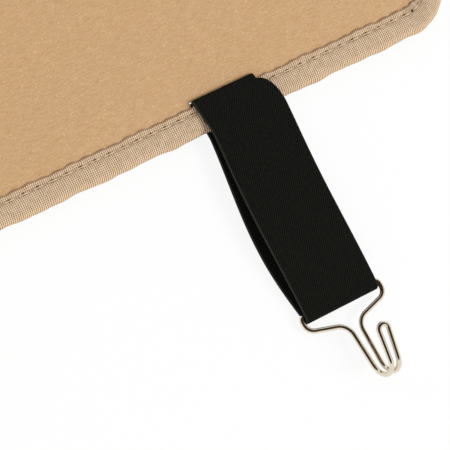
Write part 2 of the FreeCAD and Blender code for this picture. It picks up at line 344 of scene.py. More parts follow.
binding = {
    "seamIn": 2.1 * mm,        # from the tape's inner edge to its seam
    "ribPitch": 0.62,          # mm
    "height": 4.9 * mm,
    "holeDepth": 0.4 * mm,
    "thickness": 0.45 * mm,
    "edgeWander": 0.34 * mm,   # how far the outer edge strays from its line
    "innerWander": 0.3 * mm,
}

loop = {
    "width": 25.2 * mm,
    "thickness": 1.2 * mm,
    "bend": 0.5 * mm,          # inside radius at the slit
    "bulge": 3.2 * mm,         # how far the slack upper layer stands up
    "bulgeAt": 0.6,            # of the way from the slit to the bar
    "upperBow": 1.7 * mm,      # how far the upper layer bows sideways, and the lower one
    "lowerBow": 2.7 * mm,
    "slitShift": 1.9 * mm,     # how far the slit lies from the bar's middle
    "upperSet": 0.65 * mm,     # how far aside the upper layer leaves the slit
    "gather": 4.2 * mm,        # how much narrower the slit holds it, on the panel corner's side
    "gatherStart": 1.1 * mm,   # past the slit
    "gatherReach": 6.0 * mm,
    "overhang": 0.4 * mm,      # of the fold past the slit
    "joinX": endX + 26 * mm,
    "hookWrap": 0.95 * mm,     # inside radius round the hook's bar
    "barPlay": 0.4 * mm,       # how far past the bar's middle the fold lies
}

tab = {"width": 25 * mm, "ringWrap": 1.05 * mm, "easeReach": 9 * mm}

finishes = {
    "lining": makeMaterial("brushed nylon tricot", brushedTricot, 0.14, Roughness=0.95,
                           Sheen_Weight=0.2, Sheen_Roughness=0.6, Specular_IOR_Level=0.12),
    "tape": makeMaterial("ribbed nylon tape", ribbedTape, 0.2, Roughness=0.8,
                         Sheen_Weight=0.15, Specular_IOR_Level=0.25),
    "thread": makeMaterial("spun sewing thread", spunThread, 0.05, Roughness=0.65,
                           Sheen_Weight=0.15, Specular_IOR_Level=0.25),
    "elastic": makeMaterial("braided black elastic", braidedElastic, 0.12, Roughness=0.9,
                            Specular_IOR_Level=0.12),
    "webbing": makeMaterial("woven black webbing", braidedElastic, 0.2, Roughness=0.75,
                            Specular_IOR_Level=0.25),
    "wire": makeMaterial("nickel plated wire", platedWire, 0, Metallic=1.0),
    "shell": makeMaterial("woven polyester cloth", plainWeave, 0.2, Roughness=0.85,
                          Sheen_Weight=0.1, Specular_IOR_Level=0.2),
    "foam": makeMaterial("cut polyurethane foam", openCellFoam, 0.4, Roughness=1.0,
                         Specular_IOR_Level=0.15),
    "grip": makeMaterial("moulded hook tape", hookTape, 0.5, Roughness=0.55),
    "steel": makeMaterial("ground spring steel", groundStrip, 0, Metallic=1.0),
    "plastic": makeMaterial("moulded natural nylon", mouldedNylon, 0.02, Roughness=0.42),
}
print("materials made")


# meshes

def makeObject(name, verts, faces, material, maps=None, sharp=60):
    mesh = bpy.data.meshes.new(name)
    mesh.from_pydata([tuple(v) for v in verts], [], [tuple(f) for f in faces])
    mesh.polygons.foreach_set("use_smooth", [True] * len(mesh.polygons))
    if sharp:
        mesh.set_sharp_from_angle(angle=math.radians(sharp))
    if maps is not None:
        layer = mesh.uv_layers.new(name="weave")
        corners = np.empty(len(mesh.loops), int)
        mesh.loops.foreach_get("vertex_index", corners)
        layer.data.foreach_set("uv", np.asarray(maps, float)[corners].ravel())
    mesh.materials.append(material)
    mesh.update()
    return linkObject(name, mesh)


def mirrorObject(obj, name):
    # a copy for the other side, its faces turned back to point outwards
    mesh = obj.data.copy()
    mesh.transform(Matrix.Diagonal((-1, 1, 1, 1)))
    mesh.flip_normals()
    return linkObject(name, mesh)


def quarterEdge(step):
    # outline from the middle of the end, round the corner, over the hip, to the middle of the top
    r, dip, half = panel["cornerRadius"], panel["hipDip"], panel["hipHalfSpan"]
    big = (half ** 2 + dip ** 2) / (4 * dip)
    turn = math.asin(half / 2 / big)
    quarter = math.pi / 2
    places, normals = [], []

    def run(x0, y0, x1, y1, normal):
        count = max(2, round(math.hypot(x1 - x0, y1 - y0) / step))
        for t in np.arange(count) / count:
            places.append((x0 + (x1 - x0) * t, y0 + (y1 - y0) * t))
            normals.append(normal)

    def bend(cx, cy, radius, first, last, side):
        count = max(2, round(abs(last - first) * radius / step))
        for a in first + (last - first) * np.arange(count) / count:
            places.append((cx + radius * math.cos(a), cy + radius * math.sin(a)))
            normals.append((side * math.cos(a), side * math.sin(a)))

    run(endX, 0, endX, topY - r, (1, 0))
    bend(endX - r, topY - r, r, 0, quarter, 1)
    run(endX - r, topY, hipX + half, topY, (0, 1))
    bend(hipX + half, topY - big, big, quarter, quarter + turn, 1)
    bend(hipX, topY - dip + big, big, turn - quarter, -quarter, -1)
    bend(hipX, topY - dip + big, big, -quarter, -turn - quarter, -1)
    bend(hipX - half, topY - big, big, quarter - turn, quarter, 1)
    run(hipX - half, topY, 0, topY, (0, 1))
    places.append((0, topY))
    normals.append((0, 1))
    return np.array(places), np.array(normals)


def rightEdge(step):
    # the right half's outline, from the middle of the bottom to the middle of the top
    places, normals = quarterEdge(step)
    flip = np.array((1, -1))
    places = np.vstack((places[:0:-1] * flip, places))
    normals = np.vstack((normals[:0:-1] * flip, normals))
    steps = np.hypot(*np.diff(places, axis=0).T)
    lengths = np.concatenate(([0], np.cumsum(steps)))
    return places, normals, lengths - lengths[-1] / 2


edgePlaces, edgeNormals, edgeLengths = rightEdge(panel["edgeStep"])


def nearestEdge(points):
    # distance from the outline, and how far along it, for each point
    distances, lengths = [], []
    for start in range(0, len(points), 2000):
        gaps = points[start:start + 2000, None, :] - edgePlaces[None]
        squares = (gaps ** 2).sum(2)
        nearest = squares.argmin(1)
        distances.append(np.sqrt(squares[np.arange(len(nearest)), nearest]))
        lengths.append(edgeLengths[nearest])
    return np.concatenate(distances), np.concatenate(lengths)


def edgeStretches(low, high):
    # the parts of the right half's outline between two places along X
    keep = (edgePlaces[:, 0] >= low - 1e-6) & (edgePlaces[:, 0] <= high + 1e-6)
    marks = np.flatnonzero(np.diff(np.concatenate(([0], keep.astype(int), [0]))))
    return [np.arange(a, b) for a, b in marks.reshape(-1, 2) if b - a > 2]


slitX = loopLow[0] + 2.0 * mm
slitPlay = 0.4 * mm   # how far the slit is cut past each side of the band


def slitCorners(side):
    centre = hookBar[1] - loop["slitShift"]
    inner = side * (centre - loop["width"] / 2 - slitPlay)
    outer = side * (centre + loop["width"] / 2 - loop["gather"] + slitPlay)
    low, high = min(inner, outer), max(inner, outer)
    half = panel["slitWidth"] / 2
    return [(slitX - half, low), (slitX + half, low), (slitX + half, high), (slitX - half, high)]


def planSheet(low, high, insets, gridStep, columns=()):
    # triangles over one stretch of the panel, finest along the bound edge
    stretches = edgeStretches(low, high)
    every = 2 if insets[0] > 5 * mm else 3

    def ring(part, inset):
        part = np.unique(np.concatenate((part[::every], part[-1:])))
        return [tuple(p) for p in edgePlaces[part] - edgeNormals[part] * inset]

    def cut(x, upwards):
        top = topY - panel["hipDip"] if abs(x - hipX) < 1e-6 else topY
        ys = [top - inset for inset in insets[1:]]
        ys += list(np.arange(0, ys[-1] - gridStep * 0.6, gridStep))
        ys = np.unique(np.round([-y for y in ys] + ys, 7))
        points = [(x, y) for y in ys]
        return points if upwards else points[::-1]

    border = ring(stretches[0], insets[0])
    if len(stretches) == 2:
        border += cut(high, True) + ring(stretches[1], insets[0])
    border += cut(low, False)
    points = list(border)
    for inset in insets[1:]:
        for part in stretches:
            points += ring(part, inset)[1:-1]
    xs = np.arange(low + gridStep, high - gridStep * 0.5, gridStep)
    for column in columns:
        xs = xs[abs(xs - column) > gridStep * 0.4]
    xs = np.concatenate((xs, columns))
    ys = np.arange(-topY, topY, gridStep)
    grid = np.array([(x, y) for x in xs for y in ys])
    away, _ = nearestEdge(grid)
    inside = np.array([abs(y) < topY for x, y in grid]) & (away > insets[-1] + gridStep * 0.5)
    limit = np.interp(grid[:, 0], *topLimit())
    points += [tuple(p) for p in grid[inside & (abs(grid[:, 1]) < limit)]]
    edges, holes = [], []
    if high > slitX:
        for side in (1, -1):
            corners = slitCorners(side)
            first = len(points)
            points += corners
            edges += [(first + k, first + (k + 1) % 4) for k in range(4)]
            holes.append((np.array(corners[0]), np.array(corners[2])))
    found = delaunay_2d_cdt([Vector(p) for p in points], edges, [list(range(len(border)))],
                            1, 1e-7)
    places = np.array([tuple(v) for v in found[0]])
    faces = [f for f in found[2] if len(f) == 3]
    if holes:
        centres = np.array([places[list(f)].mean(0) for f in faces])
        keep = np.ones(len(faces), bool)
        for lowCorner, highCorner in holes:
            keep &= ~np.all((centres > lowCorner) & (centres < highCorner), axis=1)
        faces = [f for f, kept in zip(faces, keep) if kept]
    return places, faces


def topLimit():
    upper = edgePlaces[len(edgePlaces) // 2:]
    order = np.argsort(upper[:, 0])
    return upper[order, 0], upper[order, 1]


def layerObject(name, places, faces, top, bottom, material):
    # a closed layer between two height fields over the same triangles
    used = np.unique([i for f in faces for i in f])
    index = {int(old): new for new, old in enumerate(used)}
    places = places[used]
    faces = [[index[i] for i in f] for f in faces]
    first = places[faces[0]]
    a, b = first[1] - first[0], first[2] - first[0]
    if a[0] * b[1] - a[1] * b[0] < 0:
        faces = [f[::-1] for f in faces]
    away, along = nearestEdge(places)
    count = len(places)
    verts = np.vstack((np.column_stack((places, top(places, away, along))),
                       np.column_stack((places, bottom(places, away, along)))))
    directed = {(f[k], f[(k + 1) % 3]) for f in faces for k in range(3)}
    walls = [(b, a, a + count, b + count) for a, b in directed if (b, a) not in directed]
    under = [[i + count for i in reversed(f)] for f in faces]
    return makeObject(name, verts, faces + under + walls, material)


def blendAcross(obj, part, side):
    # finds the fold and the two bodies beside it, and bakes the piece's place into its mesh
    word = "right" if side == 1 else "left"
    if part == "middle":
        fold, bodies = backFold, ("back", f"side_{word}")
    else:
        fold, bodies = sideFold, (f"side_{word}", f"front_{word}")
    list(bodies)
    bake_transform(obj)


def cutSize(part, edge):
    # width, length and area of the cloth cut for one stretch of the panel
    low, high = stretchOf[part]
    length = min(high, endX - edge) - low
    upper = topLimit()
    inside = (upper[0] >= low) & (upper[0] <= low + length)
    x, y = upper[0][inside], upper[1][inside] - edge
    area = ((y[1:] + y[:-1]) * np.diff(x)).sum()
    return (2 * (topY - edge), length), min(area, 2 * (topY - edge) * length)


def bothSides(makeRight, name, part, slot, replaced, tapeCut=None):
    # makes the right-hand piece, mirrors it to the left, bakes both in place and hides the frame's
    # parts they replace
    right = makeRight(f"{part}_{name}_right")
    left = mirrorObject(right, f"{part}_{name}_left")
    for obj, side, word in ((right, 1, "right"), (left, -1, "left")):
        blendAcross(obj, part, side)
        if part == "middle":
            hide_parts(f"{replaced}_side_{word}", f"{replaced}_back")
        else:
            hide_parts(f"{replaced}_front_{word}")
        if name in sheetEdges:
            flat, area = cutSize(part, sheetEdges[name])


def makeLayer(plan, top, bottom, finish, *naming):
    def right(name):
        return layerObject(name, *plan, top, bottom, finishes[finish])

    bothSides(right, *naming)


stretchOf = {"middle": (0.0, hipX), "front": (hipX, endX + mm)}
sheetEdges = {"lining": 7.2 * mm, "shell": 7.2 * mm}   # how far in from the edge each is cut


# lining

lining = {
    "insets": [7.2 * mm, 7.9 * mm, 8.6 * mm, 9.3 * mm, 10.2 * mm, 11.4 * mm, 13 * mm,
               15.2 * mm, 17.6 * mm],
    "pucker": 0.16 * mm,
    "low": 3.52 * mm,
    "edgeTop": 3.95 * mm,
}


def liningTopAt(places, away, along):
    rise = smooth((away - 7.0 * mm) / (5.5 * mm))
    height = lining["edgeTop"] + (liningTop + 0.1 * mm - lining["edgeTop"]) * rise
    fade = np.exp(-np.clip(away - bindingWidth, 0, None) / (3.2 * mm))
    height += lining["pucker"] * fade * np.cos(along / panel["stitchPitch"] * 2 * np.pi)
    height += 0.12 * mm * ripple(places[:, 0] + places[:, 1] * 0.35, 1.3)
    height += 0.10 * mm * ripple(places[:, 1] - places[:, 0] * 0.2, 4.1)
    return height


def liningLowAt(places, away, along):
    return np.full(len(places), lining["low"])


for part, stretch in stretchOf.items():
    plan = planSheet(*stretch, lining["insets"], panel["gridStep"])
    makeLayer(plan, liningTopAt, liningLowAt, "lining", "lining", part, "brushed_lining", "lining")
print("lining made")


# foam core, with the channels that hold the stays and bones

channels = [(x, 6.9 * mm) for x in stayX] + [(hipX, 4.2 * mm), (frontBoneX, 4.2 * mm)]
edgeLift = 2.2 * mm   # the core's underside and the shell both rise this far into the tape
core = {"insets": [3.2 * mm, 7.2 * mm, 8.6 * mm, 10 * mm, 11.8 * mm, 14 * mm, 17 * mm],
        "top": 3.3 * mm, "low": 0.82 * mm, "channelTop": 2.35 * mm, "gridStep": 5 * mm}


def liftAt(away):
    return edgeLift * (1 - smooth((away - 10.2 * mm) / (6 * mm)))


def coreLowAt(places, away, along):
    height = core["low"] + liftAt(away)
    for x, half in channels:
        inChannel = abs(places[:, 0] - x) < half
        height = np.where(inChannel, np.maximum(height, core["channelTop"]), height)
    return height


def coreTopAt(places, away, along):
    return np.full(len(places), core["top"])


def makeCore(part):
    low, high = stretchOf[part]
    walls = [x + side * half * f for x, half in channels for side in (1, -1)
             for f in (0.98, 1.02) if low < x + side * half < high]
    plan = planSheet(low, high, core["insets"], core["gridStep"], walls)
    makeLayer(plan, coreTopAt, coreLowAt, "foam", "core", part, "foam_core", "foam")


for part in stretchOf:
    makeCore(part)
print("core made")


# outer shell, drawn up to the binding and sewn down beside each channel

shell = {"insets": [7.2 * mm, 8.6 * mm, 10 * mm, 11.8 * mm, 14 * mm, 17 * mm],
         "seamDepth": 0.3 * mm, "seamReach": 1.1 * mm, "seamGap": 2.2 * mm,
         "thickness": 0.45 * mm}
seamLines = [x + way * half + way * shell["seamGap"] for x, half in channels for way in (-1, 1)]


def shellLowAt(places, away, along):
    height = liftAt(away)
    for x in seamLines:
        height += shell["seamDepth"] * np.exp(-((places[:, 0] - x) / shell["seamReach"]) ** 2)
    return height


def shellTopAt(places, away, along):
    return shellLowAt(places, away, along) + shell["thickness"]


def makeShell(part):
    low, high = stretchOf[part]
    columns = [x + d for x in seamLines for d in (-1.5 * mm, 0, 1.5 * mm) if low < x + d < high]
    plan = planSheet(low, high, shell["insets"], panel["gridStep"], columns)
    makeLayer(plan, shellTopAt, shellLowAt, "shell", "shell", part, "outer_fabric", "shell")


for part in stretchOf:
    makeShell(part)
print("shell made")


# binding tape, folded over the edge

def bindingSection(lengths):
    # distance in from the outer edge and height, round the tape, at each place along the edge
    pulled = 0.5 + 0.5 * np.cos(lengths / panel["stitchPitch"] * 2 * np.pi)
    pulled = (pulled ** 2)[:, None]
    wander = (binding["edgeWander"] * ripple(lengths, 2.2, (23, 12.5, 7.3)))[:, None]
    stray = (binding["innerWander"] * ripple(lengths, 4.4, (19, 11.3, 6.1)))[:, None]
    swell = (0.14 * mm * ripple(lengths * 1.7, 5.6))[:, None]
    width, high = bindingWidth, binding["height"]
    seam = width - binding["seamIn"]
    top = np.array([(width, high - 0.12 * mm), (width - 0.35 * mm, high),
                    (width - 1.0 * mm, high - 0.02 * mm),
                    (seam + 0.55 * mm, high - 0.2 * mm), (seam, high - 0.62 * mm),
                    (seam - 0.55 * mm, high - 0.25 * mm), (seam - 1.2 * mm, high - 0.05 * mm),
                    (4.2 * mm, high), (3.2 * mm, high - 0.04 * mm), (2.3 * mm, high - 0.15 * mm),
                    (1.5 * mm, high - 0.42 * mm), (0.85 * mm, high - 0.85 * mm),
                    (0.35 * mm, high - 1.4 * mm), (0.08 * mm, high - 1.95 * mm)])
    low = bindingLow
    under = np.array([(0.08 * mm, low + 0.95 * mm), (0.4 * mm, low + 0.5 * mm),
                      (1.0 * mm, low + 0.2 * mm), (2.0 * mm, low + 0.04 * mm), (3.5 * mm, low),
                      (seam - 0.5 * mm, low), (seam, low + 0.25 * mm), (seam + 0.5 * mm, low),
                      (width - 0.4 * mm, low), (width, low + 0.05 * mm)])
    inner = np.array([(width, low + binding["thickness"]), (seam, low + 0.6 * mm),
                      (3 * mm, low + 0.55 * mm), (1.1 * mm, low + 1.0 * mm), (0.9 * mm, 2.9 * mm),
                      (1.3 * mm, high - 1.1 * mm), (3 * mm, high - 0.6 * mm),
                      (seam, high - 1.15 * mm), (width, high - 0.6 * mm)])
    profile = np.vstack((top, under, inner))
    inward = np.repeat(profile[None, :, 0], len(lengths), 0)
    height = np.repeat(profile[None, :, 1], len(lengths), 0)
    nearInner = smooth((inward - seam) / (2 * mm))
    isTop = (np.arange(len(profile)) < len(top)) | (np.arange(len(profile)) >= len(profile) - 3)
    inward = inward - nearInner * (0.16 * mm * pulled - stray)
    inward = inward + wander * (1 - smooth(inward / (5 * mm)))
    height = height - isTop * nearInner * 0.16 * mm * pulled
    height = height + isTop * swell * smooth(inward / (3 * mm)) * (1 - nearInner)
    pit = np.exp(-((inward - seam) / (0.5 * mm)) ** 2) * pulled ** 3
    height = height - isTop * pit * binding["holeDepth"]
    return inward, height


def bandFaces(rings, size, turned=False):
    # quads round a band from ring to ring, and a cap on each end; turned reverses the quads only
    faces = []
    for r in range(rings - 1):
        for k in range(size):
            n = (k + 1) % size
            quad = (r * size + k, (r + 1) * size + k, (r + 1) * size + n, r * size + n)
            faces.append(quad[::-1] if turned else quad)
    faces.append(tuple(range(size)))
    faces.append(tuple((rings - 1) * size + k for k in reversed(range(size))))
    return faces


def bandOver(part, lengths):
    # a closed band of tape whose section follows one stretch of the outline
    inward, height = bindingSection(lengths)
    rings, size = inward.shape
    places = edgePlaces[part][:, None, :] - edgeNormals[part][:, None, :] * inward[:, :, None]
    verts = np.concatenate((places, height[:, :, None]), 2).reshape(-1, 3)
    across = np.concatenate(([0], np.cumsum(np.hypot(np.diff(inward[0]), np.diff(height[0])))))
    maps = np.stack((np.repeat(lengths[:, None], size, 1), np.repeat(across[None], rings, 0)), 2)
    return verts, bandFaces(rings, size), maps.reshape(-1, 2) / mm


def makeBinding(part):
    def right(name):
        verts, faces, maps = np.zeros((0, 3)), [], np.zeros((0, 2))
        for stretch in edgeStretches(*stretchOf[part]):
            v, f, m = bandOver(stretch, edgeLengths[stretch])
            faces += [tuple(i + len(verts) for i in face) for face in f]
            verts, maps = np.vstack((verts, v)), np.vstack((maps, m))
        return makeObject(name, verts, faces, finishes["tape"], maps)

    profile = np.column_stack([values[0] for values in bindingSection(edgeLengths[:1])])
    around = np.hypot(*np.diff(np.vstack((profile, profile[:1])), axis=0).T).sum()
    length = sum(np.ptp(edgeLengths[stretch]) for stretch in edgeStretches(*stretchOf[part]))
    bothSides(right, "binding", part, "binding_tape", "binding", (around / 2, length))


for part in stretchOf:
    makeBinding(part)
print("binding made")


# stitches, from one Geometry Nodes tree

def stitchTree():
    tree = bpy.data.node_groups.new("row of stitches", "GeometryNodeTree")
    face = tree.interface
    face.new_socket("Geometry", in_out="INPUT", socket_type="NodeSocketGeometry")
    for size in ("Pitch", "Thread"):
        face.new_socket(size, in_out="INPUT", socket_type="NodeSocketFloat")
    face.new_socket("Material", in_out="INPUT", socket_type="NodeSocketMaterial")
    face.new_socket("Geometry", in_out="OUTPUT", socket_type="NodeSocketGeometry")
    given = tree.nodes.new("NodeGroupInput").outputs
    curve = addNode(tree, "GeometryNodeMeshToCurve", {"Mesh": given["Geometry"]})
    points = addNode(tree, "GeometryNodeCurveToPoints",
                     {"Curve": curve, "Length": given["Pitch"]}, mode="LENGTH")
    ball = addNode(tree, "GeometryNodeMeshUVSphere", {"Segments": 6, "Rings": 5, "Radius": 1.0})
    long = addNode(tree, "ShaderNodeMath", (given["Pitch"], 0.46), operation="MULTIPLY")
    thick = addNode(tree, "ShaderNodeMath", (given["Thread"], 0.5), operation="MULTIPLY")
    size = addNode(tree, "ShaderNodeCombineXYZ", (long, thick, thick))
    stitch = addNode(tree, "GeometryNodeTransform", {"Geometry": ball, "Scale": size})
    lean = addNode(tree, "FunctionNodeRandomValue", {"Min": -0.06, "Max": 0.06, "Seed": 7}, 1,
                   data_type="FLOAT")
    facing = addNode(tree, "FunctionNodeAlignRotationToVector",
                     {"Vector": points.node.outputs["Tangent"]}, axis="X")
    tilt = addNode(tree, "FunctionNodeAxisAngleToRotation", {"Axis": (0, 0, 1), "Angle": lean})
    turned = addNode(tree, "FunctionNodeRotateRotation", {"Rotation": facing, "Rotate By": tilt})
    placed = addNode(tree, "GeometryNodeInstanceOnPoints",
                     {"Points": points, "Instance": stitch, "Rotation": turned})
    real = addNode(tree, "GeometryNodeRealizeInstances", (placed,))
    smoothed = addNode(tree, "GeometryNodeSetShadeSmooth", {"Geometry": real})
    coloured = addNode(tree, "GeometryNodeSetMaterial",
                       {"Geometry": smoothed, "Material": given["Material"]})
    addNode(tree, "NodeGroupOutput", {"Geometry": coloured})
    return tree


stitches = stitchTree()


def sewRows(name, seams, pitch, thickness, material):
    # seams is a list of point lists; a plain mesh of the stitches comes back
    verts, edges = [], []
    for row in seams:
        edges += [(len(verts) + k, len(verts) + k + 1) for k in range(len(row) - 1)]
        verts += [tuple(p) for p in row]
    mesh = bpy.data.meshes.new("rows")
    mesh.from_pydata(verts, edges, [])
    path = linkObject("rows", mesh)
    modifier = path.modifiers.new("stitches", "NODES")
    modifier.node_group = stitches
    sockets = {item.name: item.identifier for item in stitches.interface.items_tree
               if item.in_out == "INPUT"}
    modifier[sockets["Pitch"]] = pitch
    modifier[sockets["Thread"]] = thickness
    modifier[sockets["Material"]] = material
    bpy.context.view_layer.update()
    graph = bpy.context.evaluated_depsgraph_get()
    result = bpy.data.meshes.new_from_object(path.evaluated_get(graph))
    path.modifiers.remove(modifier)
    bpy.data.objects.remove(path)
    result.name = name
    return linkObject(name, result)


seam = {"thread": 0.42 * mm, "channelThread": 0.4 * mm,
        "channelEnd": 13 * mm}   # how far in from the edge a channel's stitches stop


def seamRow(stretch, height):
    # one row along the binding's seam, starting half a stitch after a needle hole
    inset = bindingWidth - binding["seamIn"]
    lengths = edgeLengths[stretch]
    pitch = panel["stitchPitch"]
    first = (math.ceil(lengths[0] / pitch) + 0.5) * pitch
    fine = np.arange(first, lengths[-1], pitch / 4)
    places = edgePlaces[stretch] - edgeNormals[stretch] * inset
    x = np.interp(fine, lengths, places[:, 0])
    y = np.interp(fine, lengths, places[:, 1])
    return np.column_stack((x, y, np.full(len(fine), height)))


def makeSeams(part):
    def right(name):
        heights = (binding["height"] - 0.5 * mm, bindingLow + 0.1 * mm)
        seams = [seamRow(stretch, height) for stretch in edgeStretches(*stretchOf[part])
                 for height in heights]
        return sewRows(name, seams, panel["stitchPitch"], seam["thread"], finishes["thread"])

    def channel(name):
        low, high = stretchOf[part]
        seams = []
        for x in seamLines:
            if low < x < high:
                reach = np.interp(x, *topLimit()) - seam["channelEnd"]
                ys = np.arange(-reach, reach, panel["channelPitch"])
                seams.append([(x, y, shell["seamDepth"] - 0.12 * mm) for y in ys])
        return sewRows(name, seams, panel["channelPitch"], seam["channelThread"],
                       finishes["thread"])

    for make, name in ((right, "seam"), (channel, "channel_seam")):
        made = make(f"{part}_{name}_right")
        other = mirrorObject(made, f"{part}_{name}_left")
        for obj, side in ((made, 1), (other, -1)):
            blendAcross(obj, part, side)


for part in stretchOf:
    makeSeams(part)
print("stitches made")


# elastic loops and webbing tabs

def loopPath(barX, barZ, barRadius, bulge, over=0.0, count=150):
    # middle line of the band: under the panel, up through the slit, over it and round the bar;
    # each point is its place along X, its height, and 1 on the upper layer or 0 on the lower
    half = loop["thickness"] / 2
    bend = loop["bend"] + half
    wrap = barRadius + half
    path = []

    def turn(cx, cz, radius, first, last, steps):
        for a in np.linspace(first, last, steps):
            path.append((cx + radius * math.cos(a), cz + radius * math.sin(a),
                         0.5 + 0.5 * math.sin(a)))

    upper = liningTop + 0.7 * mm + half
    start, end = slitX + bend - over, barX
    for x in np.linspace(barX - mm, slitX + bend + mm, count):
        path.append((x, half, 0))
    turn(slitX + bend, half + bend, bend, -math.pi / 2, -math.pi, 8)
    path.append((slitX, upper - bend - 0.9 * mm, 0.5))
    turn(start, upper - bend, bend, math.pi, math.pi / 2, 8)
    for t in (np.linspace(0, 1, count) ** 1.4)[1:-1]:
        base = upper + (barZ + wrap - upper) * t
        peak = t ** (math.log(0.5) / math.log(loop["bulgeAt"]))
        rise = bulge * math.sin(math.pi * peak) ** 1.2
        path.append((start + (end - start) * t, base + rise, 1))
    turn(barX, barZ, wrap, math.pi / 2, -math.pi / 2, 14)
    return np.array(path)


def sidewaysBow(path):
    # how far the middle of a slack layer lies towards the wearer's waist line
    share = (path[:, 0] - endX) / (hookBar[0] - endX)
    inside = np.clip(share, 0, 1)
    leaving = 1 - smooth((share + 0.16) / 0.2)
    upper = loop["upperSet"] * (1 - inside) + loop["upperBow"] * np.sin(np.pi * inside) ** 1.3
    lower = loop["lowerBow"] * np.sin(np.pi * inside ** 1.35)
    bow = path[:, 2] * upper + (1 - path[:, 2]) * lower
    return bow + leaving * (loop["slitShift"] - loop["upperSet"] * path[:, 2])


def bandMesh(path, middle, width, thickness, warp=None):
    # a flat band with rounded edges along a path in the XZ plane
    tangent = np.gradient(path[:, :2], axis=0)
    tangent /= np.linalg.norm(tangent, axis=1)[:, None]
    half = thickness / 2
    edge = np.linspace(-math.pi / 2, math.pi / 2, 7)
    flat = np.linspace(-1, 1, 17)[1:-1]
    section = [(t, 0, half) for t in flat]
    section += [(1, math.cos(a) * half, -math.sin(a) * half) for a in edge]
    section += [(-t, 0, -half) for t in flat]
    section += [(-1, -math.cos(a) * half, math.sin(a) * half) for a in edge]
    verts, maps = [], []
    steps = np.hypot(*np.diff(path[:, :2], axis=0).T)
    run = np.concatenate(([0], np.cumsum(steps)))
    for (x, z, _), (tx, tz), centre, length in zip(path, tangent, middle, run):
        for share, beyond, lift in section:
            y = share * (width / 2 - half) + beyond
            verts.append((x - tz * lift, centre + y, z + tx * lift))
            maps.append((length / mm, (y + width / 2) / mm))
    verts = np.array(verts)
    faces = bandFaces(len(path), len(section), turned=True)
    return (warp(verts) if warp else verts), faces, np.array(maps)


def runLength(path):
    return np.hypot(*np.diff(path[:, :2], axis=0).T).sum()


def gathered(middle, side):
    # the slit bunches one side of the band, which rounds the corner of the fold
    def warp(verts):
        out = verts.copy()
        beside = np.clip((verts[:, 1] - middle) * side / (loop["width"] / 2), 0, 1)
        far = np.clip((verts[:, 0] - slitX - loop["gatherStart"]) / loop["gatherReach"], 0, 1)
        rounding = 1 - np.sqrt(1 - (1 - far) ** 2)
        out[:, 1] -= side * loop["gather"] * beside ** 2 * rounding
        return out

    return warp


def makeStrap(word, side):
    middle = side * hookBar[1]
    path = loopPath(hookBar[0] + loop["barPlay"], hookBar[2], loop["hookWrap"], loop["bulge"],
                    loop["overhang"])
    centres = middle - side * sidewaysBow(path)
    first, last = np.flatnonzero(path[:, 0] <= loop["joinX"])[[0, -1]]
    near = slice(first, last + 1)
    verts, faces, maps = bandMesh(path[near], centres[near], loop["width"], loop["thickness"],
                                  gathered(middle - side * loop["slitShift"], side))
    root = makeObject(f"{word}_elastic_near", verts, faces, finishes["elastic"], maps)
    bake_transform(root)
    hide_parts(f"{word}_strap_root", f"{word}_strap_band")
    order = np.concatenate((np.arange(last, len(path)), np.arange(0, first + 1)))
    verts, faces, maps = bandMesh(path[order], centres[order], loop["width"], loop["thickness"])
    band = makeObject(f"{word}_elastic_far", verts, faces, finishes["elastic"], maps)
    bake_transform(band)
    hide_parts(f"{word}_strap_band", f"{word}_strap_fold")
    for obj, part in ((root, path[near]), (band, path[order])):
        runLength(part)


def makeTab(word, side):
    path = loopPath(-ringBar[0], ringBar[2], tab["ringWrap"], 0.0, count=30)
    path = np.vstack((path, path[:1]))
    leaving = 1 - smooth((path[:, 0] - slitX - loop["gatherStart"]) / tab["easeReach"])
    centres = side * (hookBar[1] - loop["slitShift"] * leaving)
    middle = side * (hookBar[1] - loop["slitShift"])
    verts, faces, maps = bandMesh(path, centres, tab["width"], loop["thickness"],
                                  gathered(middle, side))
    right = makeObject("right_tab", verts, faces, finishes["webbing"], maps)
    obj = mirrorObject(right, f"{word}_webbing_tab")
    bpy.data.objects.remove(right)
    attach(obj, "front_left")
    runLength(path)
    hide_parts(f"{word}_tab")


for word, side in (("upper", 1), ("lower", -1)):
    makeStrap(word, side)
    makeTab(word, side)
print("loops and tabs made")


# bent wire: hooks and rings

hook = {
    "wire": 1.6 * mm,
    "halfBar": 13.6 * mm,
    "corner": 1.4 * mm,
    "side": 4.7 * mm,
    "sideRadius": 3.2 * mm,
    "shoulder": 16,            # degrees
    "neck": 3.5 * mm,
    "neckRadius": 4.6 * mm,
    "curlStart": 21.8 * mm,
    "curlRadius": 4.8 * mm,
    "curlSpacing": 2.5 * mm,
    "spread": 21,              # degrees between the neck and the returning legs
    "return": 8.8 * mm,
    "tipRadius": 1.65 * mm,
    "tilt": 7.5,               # degrees up from the bar
    "lean": 0.024,             # sideways for each length past the shoulders
    "roll": 0.165,             # sideways for each height of the curl
    "aside": 0.1 * mm,
}
halfGap = 0.15 * mm            # between a bar's middle and each end of its wire

ring = {"wire": 2.0 * mm, "corner": 2.0 * mm, "halfBar": 15.1 * mm, "span": 14.0 * mm,
        "tilt": 5.1}


def roundedPath(corners, radii):
    # runs through the corners, each corner rounded by an arc that meets its runs smoothly
    corners = np.array(corners, float)
    path = [corners[0]]
    for before, here, after, radius in zip(corners, corners[1:], corners[2:], radii):
        arriving, leaving = here - before, after - here
        arriving /= np.linalg.norm(arriving)
        leaving /= np.linalg.norm(leaving)
        angle = math.acos(np.clip(arriving @ leaving, -1, 1))
        first = here - arriving * radius * math.tan(angle / 2)
        inward = (leaving - arriving) / np.linalg.norm(leaving - arriving)
        out = first - (here + inward * radius / math.cos(angle / 2))
        for a in np.linspace(0, angle, max(3, round(angle / math.radians(7)))):
            path.append(first - out + out * math.cos(a) + arriving * radius * math.sin(a))
    path.append(corners[-1])
    return np.array(path)


